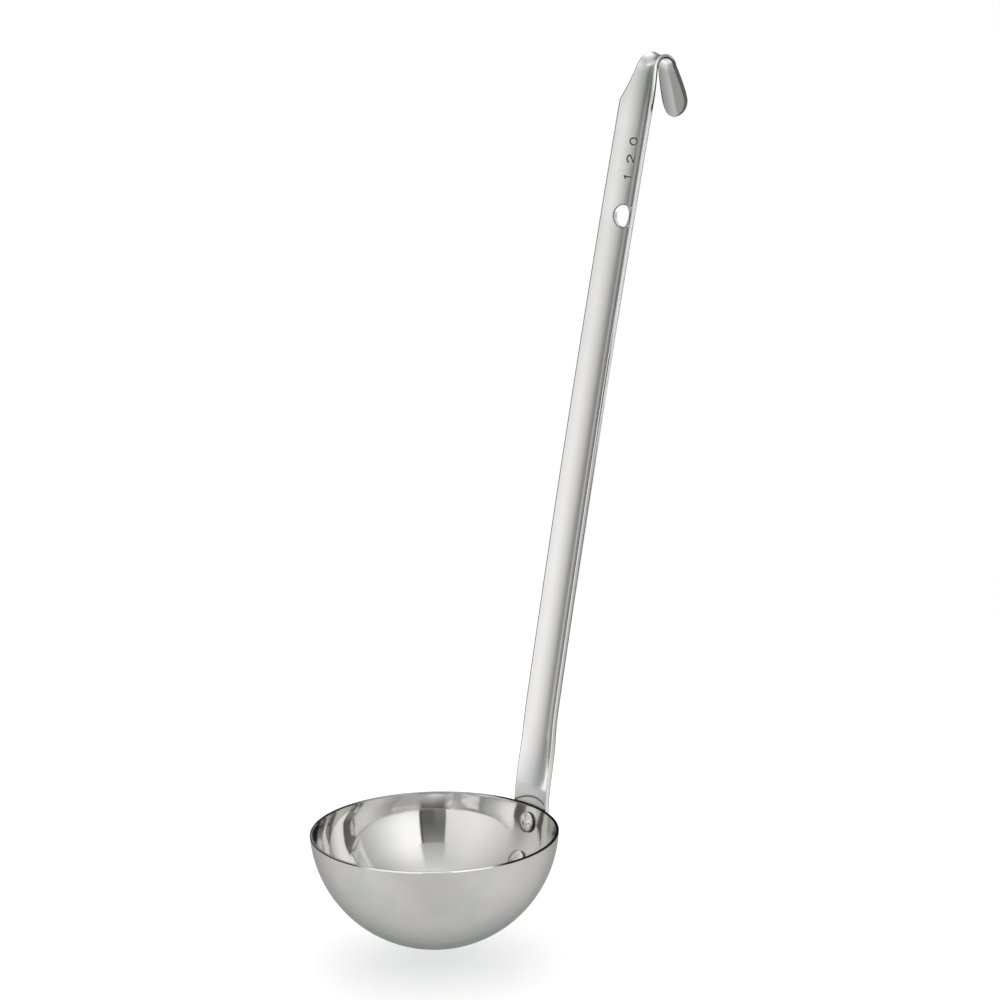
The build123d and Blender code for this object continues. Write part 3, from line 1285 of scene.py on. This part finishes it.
left_panel = [(-96, 0.50), (-90, 0.57), (-70, 0.78), (-50, 0.94), (-38, 0.98), (-14, 0.90)]
left_panel_up = [(5, 1.05), (20, 1.0), (36, 0.92), (50, 0.86), (60, 0.79)]
right_panel = [
    (16, 1.24), (32, 1.24), (42, 1.12), (50, 0.98), (60, 0.82), (70, 0.68), (90, 0.46), (102, 0.34)
]
right_panel_up = [(3, 0.82), (8, 0.94), (14, 1.0), (34, 1.0), (42, 0.92), (60, 0.80)]
left_wall_low = [(-150, 0.45), (-127, 0.27), (-114, 0.29), (-103, 0.40), (-96, 0.48)]
left_wall_high = [(-150, 0.62)]
right_wall_low = [(100, 0.44), (108, 0.34), (120, 0.43), (150, 0.45)]
right_wall_high = [(105, 0.58), (150, 0.82)]
back_up = [
    (7, 0.05), (9, 0.16), (14, 0.20), (22, 0.44), (28, 0.68), (32, 0.86), (36, 1.15), (40, 1.35)
]
back_left = [(-180, 1.0), (-170, 0.80), (-152, 0.50)]
back_right = [(158, 0.85), (180, 1.0)]
gap_up = [(4, 0.15), (16, 0.14), (28, 0.23), (34, 0.30)]
ceiling_up = [(36, 0.50), (45, 0.61), (60, 0.78), (72, 1.0), (80, 1.12)]
ceiling_behind = 1.35
below_round = [(-132, 0.60), (-115, 0.72), (-105, 0.81), (-90, 0.92), (-70, 0.6)]


def follow(value, stops):
    """A level that follows a value in straight runs between stops of (value, level)."""
    if value <= stops[0][0]:
        return stops[0][1]
    for (low, low_level), (high, high_level) in zip(stops, stops[1:]):
        if value < high:
            return low_level + (high_level - low_level) * (value - low) / (high - low)
    return stops[-1][1]


def eased(value, low, high):
    """Eases from 0 to 1 as a value goes from low to high."""
    return smooth((value - low) / (high - low))


def mixed(first, second, share):
    """Goes from a first value to a second as a share goes from 0 to 1."""
    return first * (1 - share) + second * share


def panel_level(around, rise):
    """The two lit panels beside the camera, which fade to the sides."""
    if around < 0:
        return follow(around, left_panel) * follow(rise, left_panel_up)
    return follow(around, right_panel) * follow(rise, right_panel_up)


def side_level(around, rise):
    """The side walls: dim at the level of the ladle, bright above and dim again higher up."""
    low = follow(around, left_wall_low if around < 0 else right_wall_low)
    high = follow(around, left_wall_high if around < 0 else right_wall_high)
    lit = [(12, 1.2), (16, 1.22), (20, 0.85), (23, 0.68)]
    return follow(rise, [(4, low), (8.5, low), *lit, (27, high), (45, high)])


def back_level(around, rise):
    """The dark opening behind the ladle, with a lit strip over it."""
    return follow(rise, back_up) * follow(around, back_left if around < 0 else back_right)


def gap_level(around, rise):
    """The gap between the panels: darkest along its right side, and less dark at the lower left."""
    side_line = max(1 - abs(around - gap_high + 1) / 1.2, 0)
    level = follow(rise, gap_up) * (1 - 0.75 * side_line)
    return level + 0.07 * eased(-around, -2, 2) * (1 - eased(rise, 10, 24))


def below_level(around, rise, back):
    """The studio below the ladle, which is darker under the back."""
    return follow(around, below_round) - 0.40 * back * eased(rise, -45, -25)


def studio_level(around, rise):
    """How bright the studio is, one way round and up."""
    side = eased(abs(around), 94, 100)
    walls = mixed(panel_level(around, rise), side_level(around, rise), side)
    back = 1 - eased(around, back_low - back_soft, back_low + back_soft)
    back += eased(around, back_high - back_soft, back_high + back_soft)
    walls = mixed(walls, back_level(around, rise), back)
    # The gap's sides grow soft above its top, where the ceiling starts
    high = eased(rise, gap_top - gap_soft, gap_top + gap_soft)
    outer = gap_soft + 3.0 * high
    in_gap = eased(around, gap_low - outer, gap_low + gap_soft)
    in_gap -= eased(around, gap_high - gap_soft, gap_high + outer)
    ceiling = follow(rise, ceiling_up)
    walls = mixed(walls, mixed(gap_level(around, rise), ceiling, high), in_gap)
    ceiling += (ceiling_behind - ceiling) * eased(abs(around), 110, 150)
    walls = mixed(walls, ceiling, eased(rise, 42, 68))
    return mixed(walls, below_level(around, rise, back), eased(rise, -4, -18))


# The sheet's stretches in degrees, round and up: where each starts, and the step between its lines
stretches_round = [
    (-180, 3),
    (back_low - 1, 0.35),
    (back_low + 1, 3),
    (gap_low - 4, 0.3),
    (gap_low + 1, 3),
    (gap_high - 1, 0.3),
    (gap_high + 4, 3),
    (back_high - 1, 0.35),
    (back_high + 1, 3),
]
stretches_up = [(-90, 6), (-48, 3), (0, 1.5), (gap_top - 1, 0.3), (gap_top + 1, 3)]


def sheet_light():
    """The sheet's own light, as bright as its mesh says at each place."""
    material = bpy.data.materials.new("studio_light")
    material.use_nodes = True
    material.cycles.emission_sampling = "NONE"
    tree = Tree(material.node_tree)
    material.node_tree.nodes.clear()
    level = tree.node("ShaderNodeAttribute", attribute_name="level").outputs["Fac"]
    light = tree.node("ShaderNodeEmission", {"Strength": level})
    leave = tree.node("ShaderNodeOutputMaterial")
    tree.link(light.outputs[0], leave.inputs["Surface"])
    return material


def make_studio():
    """The studio: one far sheet all round, lit from inside, which the camera doesn't see."""
    sheet_radius = 20.0
    front_turn = degrees(atan2(camera_back.y, camera_back.x))
    columns, rows = graded(stretches_round, 180), graded(stretches_up, 90)
    points, levels = [], []
    for rise in rows:
        for around in columns:
            turn = radians(around + front_turn)
            flat = cos(radians(rise))
            way = Vector((flat * cos(turn), flat * sin(turn), sin(radians(rise))))
            points.append(way * sheet_radius)
            levels.append(studio_level(around, rise))
    size = len(columns)
    faces = []
    for r in range(len(rows) - 1):
        for c in range(size - 1):
            low, high = r * size + c, (r + 1) * size + c
            faces.append((low, low + 1, high + 1, high))
    sheet = new_piece("studio_sheet", points, faces, [sheet_light()], None, {"level": levels})
    sheet.visible_camera = False
    sheet.visible_transmission = False


def make_world():
    """Plain white behind everything."""
    world = bpy.data.worlds.new("white_world")
    world.use_nodes = True
    world.node_tree.nodes["Background"].inputs["Color"].default_value = (1, 1, 1, 1)
    bpy.context.scene.world = world


make_studio()
make_world()

bpy.context.scene.view_settings.view_transform = "Standard"
